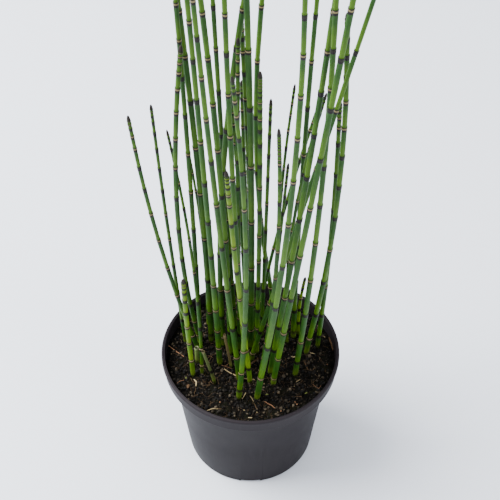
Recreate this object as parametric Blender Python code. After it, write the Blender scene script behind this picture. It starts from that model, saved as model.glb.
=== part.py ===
# A rough horsetail in a round nursery pot: the pot, its soil and every jointed stem.
# Metres, +Z up. The origin is on the floor, under the middle of the pot.

import math
from collections import namedtuple

import bmesh
import bpy
from mathutils import Matrix, Vector, noise

MM = 0.001
GAP = 0.3 * MM

# Pot: a turned wall with a rolled lip and a wide collar, and a floor with four drain channels.
# A cutter goes past what it cuts by CUT_PAST.
POT_HEIGHT = 138 * MM
RIM_RADIUS = 85 * MM
BASE_RADIUS = 63.5 * MM
WALL = 1.6 * MM
FLOOR = 2 * MM
LIP_HEIGHT = 4 * MM
LIP_WIDTH = 3.2 * MM
COLLAR_FOOT = POT_HEIGHT - 16 * MM
COLLAR_TAPER = 1.6 * MM
COLLAR_STEP = 7.6 * MM
SHOULDER_FOOT = COLLAR_FOOT - 5 * MM
EDGE_BREAK = 0.8 * MM
FOOT_ROUNDING = 2.4 * MM
TURN_STEPS = 32
CUT_PAST = 10 * MM

# Drain channels: raised strips in the floor that open through the foot, with one slot each.
CHANNEL_COUNT = 4
CHANNEL_WIDTH = 19 * MM
CHANNEL_DEPTH = 3 * MM
CHANNEL_START = 26 * MM
SLOT_LENGTH = 18 * MM
SLOT_WIDTH = 9 * MM
SLOT_RADIUS = 44 * MM

# Soil: peat up to a little below the rim, with a pocket for every foot.
SOIL_LEVEL = 125 * MM
SOIL_RELIEF = 2.5 * MM
SOIL_LUMP = 17 * MM
SOIL_SEED = 0.37
SOIL_EDGE = 1.5 * MM
SOIL_RINGS = 5
FOOT_DEPTH = 11 * MM
POCKET_TOP = 4 * MM

# Stems: five-sided, slimmer upwards, flared by a sheath at each joint, pointed at the top.
# TURN_BY_FOOT turns each stem's corners by an angle that depends on where it stands.
# SLIM_CURVE is the power of the height that a stem's slimming follows; 1 is a straight cone.
SIDES = 5
TURN_BY_FOOT = (0.7, 0.3)
SLIM_CURVE = 0.8
SHEATH_HEIGHT = 4.5 * MM
SHEATH_FLARE = 0.45 * MM
SHORTEST_GAP_SHARE = 0.55
FIRST_GAP_SHARE = 0.5
TIP_LENGTH = 7 * MM
TIP_SHOULDER = 0.8

# One row for each stem, in millimetres. foot is where it leaves the soil, lean is how far its
# top stands from above its foot, bow is how far its middle is pushed out, height is above the
# soil, thick is its width at the foot, slim is the share of that width lost by its top, joint
# is the height of its lowest joint, gap is its longest internode, and peak is the share of its
# height where that internode is.
Stem = namedtuple("Stem", "name foot lean bow height thick slim joint gap peak")

TALL_STEMS = (
    Stem("tall_stem_01", (-49, 22), (-7, 0), (2, 0), 515, 4.5, 0.25, 27, 48, 0.20),
    Stem("tall_stem_02", (-38, 19), (-27, 13), (6, 1), 540, 5.6, 0.25, 11, 55, 0.20),
    Stem("tall_stem_03", (-29, -8), (-17, -5), (1, 0), 500, 5.8, 0.43, 25, 44, 0.45),
    Stem("tall_stem_04", (-26, 14), (44, 10), (-16, 1), 505, 5.2, 0.20, 13, 50, 0.25),
    Stem("tall_stem_05", (-19, 5), (-29, 3), (7, 0), 545, 5.8, 0.36, 32, 52, 0.30),
    Stem("tall_stem_06", (-14, 20), (-17, 13), (-1, 0), 535, 4.8, 0.36, 21, 47, 0.35),
    Stem("tall_stem_07", (-10, -26), (-30, -15), (-2, 0), 495, 5.7, 0.44, 35, 56, 0.20),
    Stem("tall_stem_08", (0, 12), (-8, 6), (4, -2), 530, 6.2, 0.37, 27, 63, 0.35),
    Stem("tall_stem_09", (-4, -12), (-14, -8), (-3, 0), 500, 5.2, 0.33, 10, 56, 0.15),
    Stem("tall_stem_10", (0, -4), (111, -3), (1, 0), 545, 4.9, 0.42, 11, 61, 0.40),
    Stem("tall_stem_11", (5, -48), (26, -29), (11, 0), 515, 5.9, 0.46, 34, 58, 0.15),
    Stem("tall_stem_12", (18, -19), (43, -10), (4, 1), 520, 5.6, 0.34, 36, 50, 0.30),
    Stem("tall_stem_13", (21, -32), (55, -21), (1, 0), 560, 5.5, 0.32, 10, 57, 0.30),
    Stem("tall_stem_14", (25, 60), (16, 38), (-28, 0), 545, 4.8, 0.18, 30, 60, 0.30),
    Stem("tall_stem_15", (42, 24), (13, 15), (-4, 0), 540, 5.2, 0.45, 9, 54, 0.25),
    Stem("tall_stem_16", (42, -21), (8, -14), (9, -1), 555, 5.5, 0.38, 21, 48, 0.20),
)

MIDDLE_STEMS = (
    Stem("stem_01", (-63, 18), (-14, 6), (-1, 0), 288, 4.0, 0.34, 8, 39, 0.15),
    Stem("stem_02", (-49, 5), (-44, 2), (-6, 0), 291, 4.6, 0.33, 6, 37, 0.35),
    Stem("stem_03", (-48, 16), (-2, -2), (-12, -7), 350, 4.6, 0.17, 16, 38, 0.45),
    Stem("stem_04", (-46, -20), (-21, 51), (6, 0), 257, 3.6, 0.38, 10, 35, 0.45),
    Stem("stem_05", (-42, 39), (-10, 10), (4, 0), 217, 3.2, 0.32, 21, 37, 0.35),
    Stem("stem_06", (-11, -47), (-1, -21), (8, 0), 384, 5.5, 0.48, 13, 50, 0.45),
    Stem("stem_07", (-10, 8), (1, 9), (-1, 0), 354, 4.6, 0.30, 24, 36, 0.35),
    Stem("stem_08", (0, -29), (-18, -12), (-1, 0), 278, 4.8, 0.22, 22, 40, 0.30),
    Stem("stem_09", (-4, 32), (-12, 11), (2, 0), 285, 4.5, 0.30, 24, 45, 0.15),
    Stem("stem_10", (2, 22), (-9, 10), (2, 0), 363, 4.6, 0.20, 18, 42, 0.35),
    Stem("stem_11", (4, 39), (-11, 13), (-2, 0), 290, 4.2, 0.30, 24, 40, 0.25),
    Stem("stem_12", (6, 5), (1, 2), (1, 0), 332, 4.8, 0.25, 16, 34, 0.30),
    Stem("stem_13", (8, -27), (12, -10), (7, 0), 315, 4.4, 0.32, 15, 34, 0.45),
    Stem("stem_14", (8, 52), (48, 15), (-4, 0), 250, 3.6, 0.20, 20, 30, 0.40),
    Stem("stem_15", (11, 26), (5, 9), (0, 0), 285, 4.0, 0.28, 27, 42, 0.15),
    Stem("stem_16", (18, 21), (13, 5), (0, 0), 226, 3.4, 0.28, 12, 32, 0.30),
    Stem("stem_17", (26, 35), (9, 12), (-5, 0), 290, 3.6, 0.38, 33, 33, 0.30),
    Stem("stem_18", (36, 17), (22, 6), (-11, 0), 300, 3.6, 0.30, 18, 40, 0.35),
    Stem("stem_19", (53, 5), (14, 2), (11, 0), 382, 5.3, 0.25, 22, 45, 0.15),
    Stem("stem_20", (65, 12), (3, 4), (3, 0), 298, 4.7, 0.25, 17, 50, 0.40),
)

SHORT_SHOOTS = (
    Stem("short_shoot_1", (-54, -21), (-3, -3), (-1, 0), 139, 4.7, 0.10, 23, 27, 0.15),
    Stem("short_shoot_2", (47, 28), (4, 3), (-2, 0), 80, 3.6, 0.22, 17, 19, 0.20),
)

# Old stubs are broken off flat.
STUBS = (
    Stem("old_stub_1", (-51, -6), (0, 0), (0, 0), 22, 4.6, 0.10, 40, 20, 0.50),
    Stem("old_stub_2", (-32, -30), (-11, -2), (-1, 0), 50, 3.4, 0.10, 18, 26, 0.50),
    Stem("old_stub_3", (-17, -12), (-7, -1), (0, 0), 50, 3.0, 0.10, 60, 20, 0.50),
)


def clear_scene():
    for obj in list(bpy.data.objects):
        bpy.data.objects.remove(obj, do_unlink=True)


def make_material(name, colour, roughness):
    material = bpy.data.materials.new(name)
    material.use_nodes = True
    shader = material.node_tree.nodes["Principled BSDF"]
    shader.inputs["Base Color"].default_value = (*colour, 1)
    shader.inputs["Roughness"].default_value = roughness
    shader.inputs["Metallic"].default_value = 0
    material.diffuse_color = (*colour, 1)
    return material


def add_object(name, bm, material, smooth_angle=35):
    mesh = bpy.data.meshes.new(name)
    bm.to_mesh(mesh)
    bm.free()
    mesh.shade_smooth()
    mesh.set_sharp_from_angle(angle=math.radians(smooth_angle))
    mesh.materials.append(material)
    obj = bpy.data.objects.new(name, mesh)
    bpy.context.scene.collection.objects.link(obj)
    return obj


def hide_cutter(obj):
    obj.hide_render = True
    obj.display_type = "WIRE"


def add_boolean(obj, cutter, operation):
    modifier = obj.modifiers.new(operation.title(), "BOOLEAN")
    modifier.operation = operation
    modifier.object = cutter
    hide_cutter(cutter)


def arc(centre, radius, start, end, steps):
    """Points on an arc in the (radius, height) plane, angles in degrees."""
    angles = [math.radians(start + (end - start) * i / steps) for i in range(steps + 1)]
    return [(centre[0] + radius * math.cos(a), centre[1] + radius * math.sin(a)) for a in angles]


def body_radius(z):
    """Outer radius of the tapered wall below the collar."""
    top = RIM_RADIUS - COLLAR_TAPER - COLLAR_STEP
    return BASE_RADIUS + (top - BASE_RADIUS) * z / COLLAR_FOOT


def inner_knees():
    """The pot's inside as (height, radius): floor, shoulder, foot of the collar and lip."""
    lip_inside = RIM_RADIUS - LIP_WIDTH
    return (
        (FLOOR, body_radius(FLOOR) - WALL),
        (SHOULDER_FOOT + WALL, body_radius(SHOULDER_FOOT) - WALL),
        (COLLAR_FOOT + EDGE_BREAK, lip_inside - EDGE_BREAK / 2),
        (POT_HEIGHT - LIP_WIDTH / 2, lip_inside),
    )


def inner_radius(z):
    knees = inner_knees()
    for (low, low_radius), (high, high_radius) in zip(knees, knees[1:]):
        if z <= high:
            break
    return low_radius + (high_radius - low_radius) * (z - low) / (high - low)


def pot_profile():
    """The pot's section, from the top of the lip down the outside and up the inside."""
    bead = LIP_WIDTH / 2
    bead_centre = (RIM_RADIUS - bead, POT_HEIGHT - bead)
    lip_foot = POT_HEIGHT - LIP_HEIGHT
    points = arc(bead_centre, bead, 90, 0, 2)
    points.append((RIM_RADIUS, lip_foot))
    points.append((RIM_RADIUS - EDGE_BREAK, lip_foot - EDGE_BREAK))
    points.append((RIM_RADIUS - COLLAR_TAPER, COLLAR_FOOT + EDGE_BREAK))
    points.append((RIM_RADIUS - COLLAR_TAPER - EDGE_BREAK, COLLAR_FOOT))
    points.append((body_radius(SHOULDER_FOOT), SHOULDER_FOOT))
    points.append((body_radius(FOOT_ROUNDING), FOOT_ROUNDING))
    foot_centre = (body_radius(FOOT_ROUNDING) - FOOT_ROUNDING, FOOT_ROUNDING)
    points += arc(foot_centre, FOOT_ROUNDING, -30, -90, 2)
    points.append((0, 0))
    points.append((0, FLOOR))
    points += [(radius, z) for z, radius in inner_knees()]
    points += arc(bead_centre, bead, 160, 120, 1)
    return points


def box(bm, size, centre, turn=0):
    """Adds a box to a bmesh, moved to centre and then turned about the pot's axis."""
    matrix = Matrix.Rotation(turn, 4, "Z") @ Matrix.Translation(centre) @ Matrix.Diagonal((*size, 1))
    bmesh.ops.create_cube(bm, size=1, matrix=matrix)


def radial_boxes(name, material, size, centre):
    """One box over each drain channel, as a single cutter."""
    bm = bmesh.new()
    for i in range(CHANNEL_COUNT):
        box(bm, size, centre, math.radians(-90 + 360 * i / CHANNEL_COUNT))
    return add_object(name, bm, material)


def build_pot(material):
    bm = bmesh.new()
    corners = [bm.verts.new((x, 0, z)) for x, z in pot_profile()]
    for first, second in zip(corners, corners[1:] + corners[:1]):
        if first.co.x > 0 or second.co.x > 0:
            bm.edges.new((first, second))
    pot = add_object("pot", bm, material)
    turn = pot.modifiers.new("Turn", "SCREW")
    turn.steps = TURN_STEPS
    turn.render_steps = TURN_STEPS
    turn.use_merge_vertices = True
    turn.merge_threshold = 0.00001
    turn.use_smooth_shade = True

    reach = BASE_RADIUS + CUT_PAST
    rib_end = body_radius(0) - WALL / 2
    rib_size = (rib_end - CHANNEL_START + 2 * FLOOR, CHANNEL_WIDTH + 2 * FLOOR, CHANNEL_DEPTH + FLOOR / 2)
    rib_place = ((CHANNEL_START - 2 * FLOOR + rib_end) / 2, 0, FLOOR / 2 + rib_size[2] / 2)
    ribs = radial_boxes("channel_ribs", material, rib_size, rib_place)
    add_boolean(pot, ribs, "UNION")

    channel_size = (reach - CHANNEL_START, CHANNEL_WIDTH, 2 * CHANNEL_DEPTH)
    channel_place = ((CHANNEL_START + reach) / 2, 0, 0)
    channels = radial_boxes("drain_channels", material, channel_size, channel_place)
    add_boolean(pot, channels, "DIFFERENCE")

    slot_size = (SLOT_LENGTH, SLOT_WIDTH, 2 * CUT_PAST)
    slots = radial_boxes("drain_slots", material, slot_size, (SLOT_RADIUS, 0, CHANNEL_DEPTH))
    add_boolean(pot, slots, "DIFFERENCE")
    return pot


def soil_height(x, y):
    """Height of the peat's uneven top."""
    place = Vector((x / SOIL_LUMP, y / SOIL_LUMP, SOIL_SEED))
    return SOIL_LEVEL + SOIL_RELIEF * noise.noise(place)


def soil_radius(z):
    return inner_radius(z) - GAP / math.cos(math.pi / TURN_STEPS)


def ring_of(bm, radius, height):
    """A ring of vertices around the pot's axis, with its facets in line with the pot's."""
    ring = []
    for i in range(TURN_STEPS):
        angle = math.tau * i / TURN_STEPS
        x = radius * math.cos(angle)
        y = radius * math.sin(angle)
        ring.append(bm.verts.new((x, y, height(x, y))))
    return ring


def join_rings(bm, lower, upper):
    count = len(lower)
    for i in range(count):
        j = (i + 1) % count
        bm.faces.new((lower[i], lower[j], upper[j], upper[i]))


def build_soil(material, stems):
    bm = bmesh.new()
    _, (shoulder_z, _), (edge_z, _), _ = inner_knees()
    rings = []
    for level in (FLOOR + CHANNEL_DEPTH + GAP, shoulder_z, edge_z):
        rings.append(ring_of(bm, soil_radius(level), lambda x, y: level))
    for i in range(SOIL_RINGS, 0, -1):
        radius = (soil_radius(SOIL_LEVEL) - SOIL_EDGE) * i / SOIL_RINGS
        rings.append(ring_of(bm, radius, soil_height))
    for lower, upper in zip(rings, rings[1:]):
        join_rings(bm, lower, upper)
    bm.faces.new(reversed(rings[0]))
    middle = bm.verts.new((0, 0, soil_height(0, 0)))
    for i in range(TURN_STEPS):
        bm.faces.new((rings[-1][i], rings[-1][(i + 1) % TURN_STEPS], middle))
    soil = add_object("soil", bm, material)

    pockets = bmesh.new()
    for stem in stems:
        add_pocket(pockets, stem)
    cutter = add_object("foot_pockets", pockets, material)
    add_boolean(soil, cutter, "DIFFERENCE")
    return soil


def add_pocket(bm, stem):
    """A five-sided hole along a stem's lowest length, as wide as the sheath plus the gap."""
    bottom = -FOOT_DEPTH
    (first, _), (second, _) = stem_sections(stem)[:2]
    start = stem_centre(stem, first)
    run = stem_centre(stem, second) - start
    radius = stem.thick * MM / 2 + SHEATH_FLARE + GAP
    rings = []
    for z in (bottom - GAP, POCKET_TOP):
        centre = start + run * (z - first) / (second - first)
        rings.append(corner_ring(bm, stem, centre, radius))
    join_rings(bm, *rings)
    bm.faces.new(reversed(rings[0]))
    bm.faces.new(rings[1])


def stem_centre(stem, z):
    """Where the stem's middle is at a height above the soil; below it the foot goes straight down."""
    share = max(z, 0) / (stem.height * MM)
    arch = 4 * share * (1 - share)
    x = stem.foot[0] + stem.lean[0] * share + stem.bow[0] * arch
    y = stem.foot[1] + stem.lean[1] * share + stem.bow[1] * arch
    return Vector((x * MM, y * MM, SOIL_LEVEL + z))


def stem_radius(stem, z):
    """A stem slims quickly above its foot and then more slowly."""
    share = max(z, 0) / (stem.height * MM)
    return stem.thick * MM / 2 * (1 - stem.slim * share ** SLIM_CURVE)


def joint_heights(stem):
    """Joints from the soil to the tip: the gaps grow up to the peak, then shrink to nothing."""
    height = stem.height * MM
    z = stem.joint * MM
    found = []
    while z < height - 2 * TIP_LENGTH:
        found.append(z)
        share = z / height
        if share < stem.peak:
            growth = math.sin(math.pi / 2 * share / stem.peak)
            part = FIRST_GAP_SHARE + (1 - FIRST_GAP_SHARE) * growth
        else:
            part = math.sqrt((1 - share) / (1 - stem.peak))
            if part < SHORTEST_GAP_SHARE:
                break
        z += stem.gap * MM * part
    return found


def stem_sections(stem):
    """The stem's rings from its foot up, as (height above the soil, radius): two for each sheath."""
    height = stem.height * MM
    sections = [(-FOOT_DEPTH, stem_radius(stem, 0))]
    for z in joint_heights(stem):
        low = z - SHEATH_HEIGHT / 2
        high = z + SHEATH_HEIGHT / 2
        sections.append((low, stem_radius(stem, low)))
        sections.append((high, stem_radius(stem, high) + SHEATH_FLARE))
    if stem in STUBS:
        sections.append((height, stem_radius(stem, height)))
    else:
        shoulder = height - TIP_LENGTH
        sections.append((shoulder, stem_radius(stem, shoulder) * TIP_SHOULDER))
    return sections


def corner_ring(bm, stem, centre, radius):
    """A level ring of the stem's corners."""
    turn = stem.foot[0] * TURN_BY_FOOT[0] + stem.foot[1] * TURN_BY_FOOT[1]
    ring = []
    for i in range(SIDES):
        angle = turn + math.tau * i / SIDES
        offset = Vector((math.cos(angle), math.sin(angle), 0)) * radius
        ring.append(bm.verts.new(centre + offset))
    return ring


def build_stem(stem, material):
    bm = bmesh.new()
    rings = [corner_ring(bm, stem, stem_centre(stem, z), radius) for z, radius in stem_sections(stem)]
    for lower, upper in zip(rings, rings[1:]):
        join_rings(bm, lower, upper)
    bm.faces.new(reversed(rings[0]))
    if stem in STUBS:
        bm.faces.new(rings[-1])
    else:
        tip = bm.verts.new(stem_centre(stem, stem.height * MM))
        for i in range(SIDES):
            bm.faces.new((rings[-1][i], rings[-1][(i + 1) % SIDES], tip))
    return add_object(stem.name, bm, material, smooth_angle=80)


def main():
    clear_scene()
    black_plastic = make_material("black plastic", (0.035, 0.036, 0.04), 0.5)
    peat = make_material("peat", (0.018, 0.013, 0.008), 0.95)
    stem_green = make_material("stem green", (0.12, 0.24, 0.07), 0.5)
    young_green = make_material("young green", (0.2, 0.32, 0.06), 0.5)
    dead_brown = make_material("dead brown", (0.3, 0.22, 0.11), 0.8)

    build_pot(black_plastic)
    build_soil(peat, TALL_STEMS + MIDDLE_STEMS + SHORT_SHOOTS + STUBS)
    for stem in TALL_STEMS + MIDDLE_STEMS:
        build_stem(stem, stem_green)
    for stem in SHORT_SHOOTS:
        build_stem(stem, young_green)
    for stem in STUBS:
        build_stem(stem, dead_brown)


main()
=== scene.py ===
# A rough horsetail in a black nursery pot: its looks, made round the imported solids.
import math
import random

import bmesh
import bpy
import numpy as np
from mathutils import Euler, Matrix, Vector, noise


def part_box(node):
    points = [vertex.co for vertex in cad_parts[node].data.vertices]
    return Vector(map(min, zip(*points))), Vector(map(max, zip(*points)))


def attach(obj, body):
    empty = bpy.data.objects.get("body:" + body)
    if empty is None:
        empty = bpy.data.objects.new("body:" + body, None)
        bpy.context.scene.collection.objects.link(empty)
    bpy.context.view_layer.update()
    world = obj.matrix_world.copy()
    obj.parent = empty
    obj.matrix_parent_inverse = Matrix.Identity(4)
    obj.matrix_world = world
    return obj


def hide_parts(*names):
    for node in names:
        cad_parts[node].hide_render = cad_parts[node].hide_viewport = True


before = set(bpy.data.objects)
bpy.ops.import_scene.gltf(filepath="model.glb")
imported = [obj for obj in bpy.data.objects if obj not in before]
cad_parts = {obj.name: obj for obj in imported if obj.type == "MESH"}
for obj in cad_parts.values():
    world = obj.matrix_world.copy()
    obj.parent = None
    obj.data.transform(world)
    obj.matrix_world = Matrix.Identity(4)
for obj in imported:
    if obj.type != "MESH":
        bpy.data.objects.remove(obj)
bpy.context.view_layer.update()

mm = 0.001
seamWeld = 0.002 * mm


def deselectAll():
    for piece in bpy.context.selected_objects:
        piece.select_set(False)


def makeActive(piece):
    deselectAll()
    piece.select_set(True)
    bpy.context.view_layer.objects.active = piece


def editMode(piece):
    makeActive(piece)
    bpy.ops.object.mode_set(mode="EDIT")


def objectMode():
    bpy.ops.object.mode_set(mode="OBJECT")


def pickVerts(piece, wanted):
    # in edit mode: selects the vertices that wanted(v) says yes to, and what lies between them
    mesh = bmesh.from_edit_mesh(piece.data)
    for element in [*mesh.verts, *mesh.edges, *mesh.faces]:
        element.select = False
    for vert in mesh.verts:
        if wanted(vert):
            vert.select = True
    mesh.select_flush(True)
    bmesh.update_edit_mesh(piece.data)


def joinPieces(pieces, name):
    deselectAll()
    for piece in pieces:
        piece.select_set(True)
    bpy.context.view_layer.objects.active = pieces[0]
    bpy.ops.object.join()
    joined = bpy.context.view_layer.objects.active
    joined.name = name
    joined.data.name = name
    return joined


def finishSkin(piece, material, smoothAngle):
    # welds the seams, turns the faces outwards and smooths what isn't a sharp edge
    editMode(piece)
    bpy.ops.mesh.select_all(action="SELECT")
    bpy.ops.mesh.remove_doubles(threshold=seamWeld)
    bpy.ops.mesh.normals_make_consistent(inside=False)
    objectMode()
    piece.data.materials.clear()
    piece.data.materials.append(material)
    bpy.ops.object.shade_smooth_by_angle(angle=math.radians(smoothAngle))


def vertArray(piece):
    places = np.empty(len(piece.data.vertices) * 3, dtype=np.float32)
    piece.data.vertices.foreach_get("co", places)
    return places.reshape(-1, 3).astype(float)


def setVerts(piece, places):
    piece.data.vertices.foreach_set("co", np.asarray(places, dtype=np.float32).ravel())
    piece.data.update()


# Camera, where the photograph was taken from: above the front, looking down on the pot
photoSize = 500
cameraSetup = {
    "place": (-0.0004, -0.5861, 0.8977),
    "downward": 46.75,
    "lens": 72,
    "sensor": 36,
    "nearest": 0.02,
}


def addCamera():
    bpy.ops.object.camera_add(
        location=cameraSetup["place"],
        rotation=(math.radians(90 - cameraSetup["downward"]), 0, 0),
    )
    camera = bpy.context.object
    camera.data.lens = cameraSetup["lens"]
    camera.data.sensor_width = cameraSetup["sensor"]
    camera.data.clip_start = cameraSetup["nearest"]
    bpy.context.scene.camera = camera
    print("camera placed")


def pixelToPlane(px, py, height):
    # the point at a height that the photograph shows at a pixel
    focal = cameraSetup["lens"] / cameraSetup["sensor"] * photoSize
    tilt = math.radians(cameraSetup["downward"])
    ahead = Vector((0, math.cos(tilt), -math.sin(tilt)))
    up = Vector((0, math.sin(tilt), math.cos(tilt)))
    ray = ahead + Vector((1, 0, 0)) * (px - photoSize / 2) / focal + up * (photoSize / 2 - py) / focal
    start = Vector(cameraSetup["place"])
    return start + ray * (height - start.z) / ray.z


# Studio: a pale floor and sky, a big soft light from the left and a weak low one from the right
studio = {
    "floorSize": 8,
    "floorColour": (0.61, 0.645, 0.7),
    "floorShade": 0.98,
    "floorCloud": (2.5, 2, 0.5),
    "floorRoughness": 0.8,
    "skyColour": (0.93, 0.95, 1.0),
    "skyStrength": 1.9,
    "keyPlace": (-1.6, 0.3, 2.1),
    "keyAim": (0, 0, 0.2),
    "keySize": 2.0,
    "keyPower": 280,
    "fillPlace": (1.5, -0.9, 0.35),
    "fillSize": 1.2,
    "fillPower": 24,
}


def addStudio():
    bpy.ops.mesh.primitive_plane_add(size=studio["floorSize"])
    floor = bpy.context.object
    floor.name = "studioFloor"
    floor.data.materials.append(floorPaint())

    aim = Vector(studio["keyAim"])
    for light in ("key", "fill"):
        place = Vector(studio[light + "Place"])
        bpy.ops.object.light_add(type="AREA", location=place)
        lamp = bpy.context.object
        lamp.data.size = studio[light + "Size"]
        lamp.data.energy = studio[light + "Power"]
        lamp.rotation_euler = (place - aim).to_track_quat("Z", "Y").to_euler()

    sky = bpy.data.worlds.new("studioSky")
    sky.use_nodes = True
    background = sky.node_tree.nodes["Background"]
    background.inputs["Color"].default_value = (*studio["skyColour"], 1)
    background.inputs["Strength"].default_value = studio["skyStrength"]
    bpy.context.scene.world = sky
    print("studio lit")


# Materials: small helpers, then the group that the stems share. A noise is scale, detail, roughness
def newMaterial(name, roughness=0.5, gloss=0.5):
    material = bpy.data.materials.new(name)
    material.use_nodes = True
    shader = material.node_tree.nodes["Principled BSDF"]
    shader.inputs["Roughness"].default_value = roughness
    shader.inputs["Specular IOR Level"].default_value = gloss
    return material, material.node_tree, shader


def addNode(tree, kind, **values):
    node = tree.nodes.new(kind)
    for key, value in values.items():
        setattr(node, key, value)
    return node


def setSocket(tree, socket, value):
    # a number or a colour is set on the socket, and another node's output is linked to it
    if isinstance(value, (int, float)):
        socket.default_value = value
    elif isinstance(value, tuple):
        socket.default_value = (*value, 1)
    else:
        tree.links.new(value, socket)


def mathNode(tree, operation, first, second=0.0, third=None, clamp=False):
    node = addNode(tree, "ShaderNodeMath", operation=operation, use_clamp=clamp)
    for socket, value in zip(node.inputs, (first, second, third)):
        if value is not None:
            setSocket(tree, socket, value)
    return node.outputs[0]


def stepNode(tree, value, start, end):
    # a smooth step: 0 at start and 1 at end, whichever of the two is higher
    node = addNode(tree, "ShaderNodeMapRange", interpolation_type="SMOOTHSTEP")
    for name, setting in (("Value", value), ("From Min", start), ("From Max", end)):
        setSocket(tree, node.inputs[name], setting)
    return node.outputs["Result"]


def maskNode(tree, value, ends, share):
    # a smooth step that rises only to a share
    return mathNode(tree, "MULTIPLY", stepNode(tree, value, *ends), share)


def mixNode(tree, share, first, second):
    node = addNode(tree, "ShaderNodeMix", data_type="RGBA")
    for name, value in (("Factor_Float", share), ("A_Color", first), ("B_Color", second)):
        setSocket(tree, next(s for s in node.inputs if s.identifier == name), value)
    return next(s for s in node.outputs if s.identifier == "Result_Color")


def noiseNode(tree, scale, detail, roughness, place):
    node = addNode(tree, "ShaderNodeTexNoise")
    node.inputs["Scale"].default_value = scale
    node.inputs["Detail"].default_value = detail
    node.inputs["Roughness"].default_value = roughness
    tree.links.new(place, node.inputs["Vector"])
    return node.outputs["Fac"]


def bumpNode(tree, height, strength, distance):
    node = addNode(tree, "ShaderNodeBump")
    node.inputs["Strength"].default_value = strength
    node.inputs["Distance"].default_value = distance
    tree.links.new(height, node.inputs["Height"])
    return node.outputs["Normal"]


def objectCoords(tree):
    return addNode(tree, "ShaderNodeTexCoord").outputs["Object"]


def newGroup(name, inputs, outputs):
    group = bpy.data.node_groups.new(name, "ShaderNodeTree")
    for socketName, kind, value in inputs:
        socket = group.interface.new_socket(name=socketName, in_out="INPUT", socket_type=kind)
        socket.default_value = value
    for socketName, kind in outputs:
        group.interface.new_socket(name=socketName, in_out="OUTPUT", socket_type=kind)
    start = addNode(group, "NodeGroupInput")
    end = addNode(group, "NodeGroupOutput")
    return group, start.outputs, end.inputs


def useGroup(tree, group, **values):
    node = addNode(tree, "ShaderNodeGroup", node_tree=group)
    for name, value in values.items():
        setSocket(tree, node.inputs[name], value)
    return node.outputs


# The stems' skin. The map's v runs 0 to 1 up a sheath, 1 to 2 up an internode and on to 3 up a tip.
# Two numbers for a band are where it starts and where it is full, and for a drift factor and offset
bandLook = {
    "patches": (260, 3, 0.55),
    "grains": (1500, 2, 0.6),
    "groove": (0.2, -0.9),
    "grooveShare": 0.55,
    "grooveColour": (0.004, 0.022, 0.001),
    "drift": (0.5, -0.25),
    "aged": (0.0, 0.75),
    "bloom": (0.85, 1.0),
    "bloomShare": 0.12,
    "bloomColour": (0.03, 0.075, 0.025),
    "waverDrift": (0.3, -0.15),
    "toothWave": 0.05,
    "footRing": (0.52, 0.44),
    "fringe": (0.72, 0.8),
    "plainDark": (0.5, 0.3),
    "whiter": (0.05, 0.02),
    "creamColours": ((0.17, 0.133, 0.06), (0.31, 0.235, 0.14)),
    # painted sheen: where the grey highlight round a dark sheath's middle rises and falls, then the dark
    # colour and the highlight colour
    "sheenFoot": (0.3, 0.5),
    "sheenTop": (0.85, 0.6),
    "darkAndSheenColours": ((0.003, 0.0022, 0.002), (0.011, 0.0088, 0.0068)),
    "worn": (0.55, 0.7),
    "wornShare": 0.25,
    "wornColour": (0.025, 0.02, 0.017),
    "sheath": (1.02, 1.0),
    "endFade": 0.16,
    "footDrift": (0.012, -0.006),
    "yellowing": (0.016, 0.002),
    "yellowShare": 0.6,
    "yellowColour": (0.09, 0.13, 0.012),
    "soiled": (0.0045, 0.0005),
    "soiledShare": 0.85,
    "soiledColour": (0.005, 0.0035, 0.002),
    "roughSpread": 0.25,
    "roughLeast": 0.3,
    "darkRoughness": 0.05,
    "ridgeRelief": 0.5,
    "grainRelief": 0.5,
    "bump": (0.5, 0.15 * mm),
}


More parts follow.
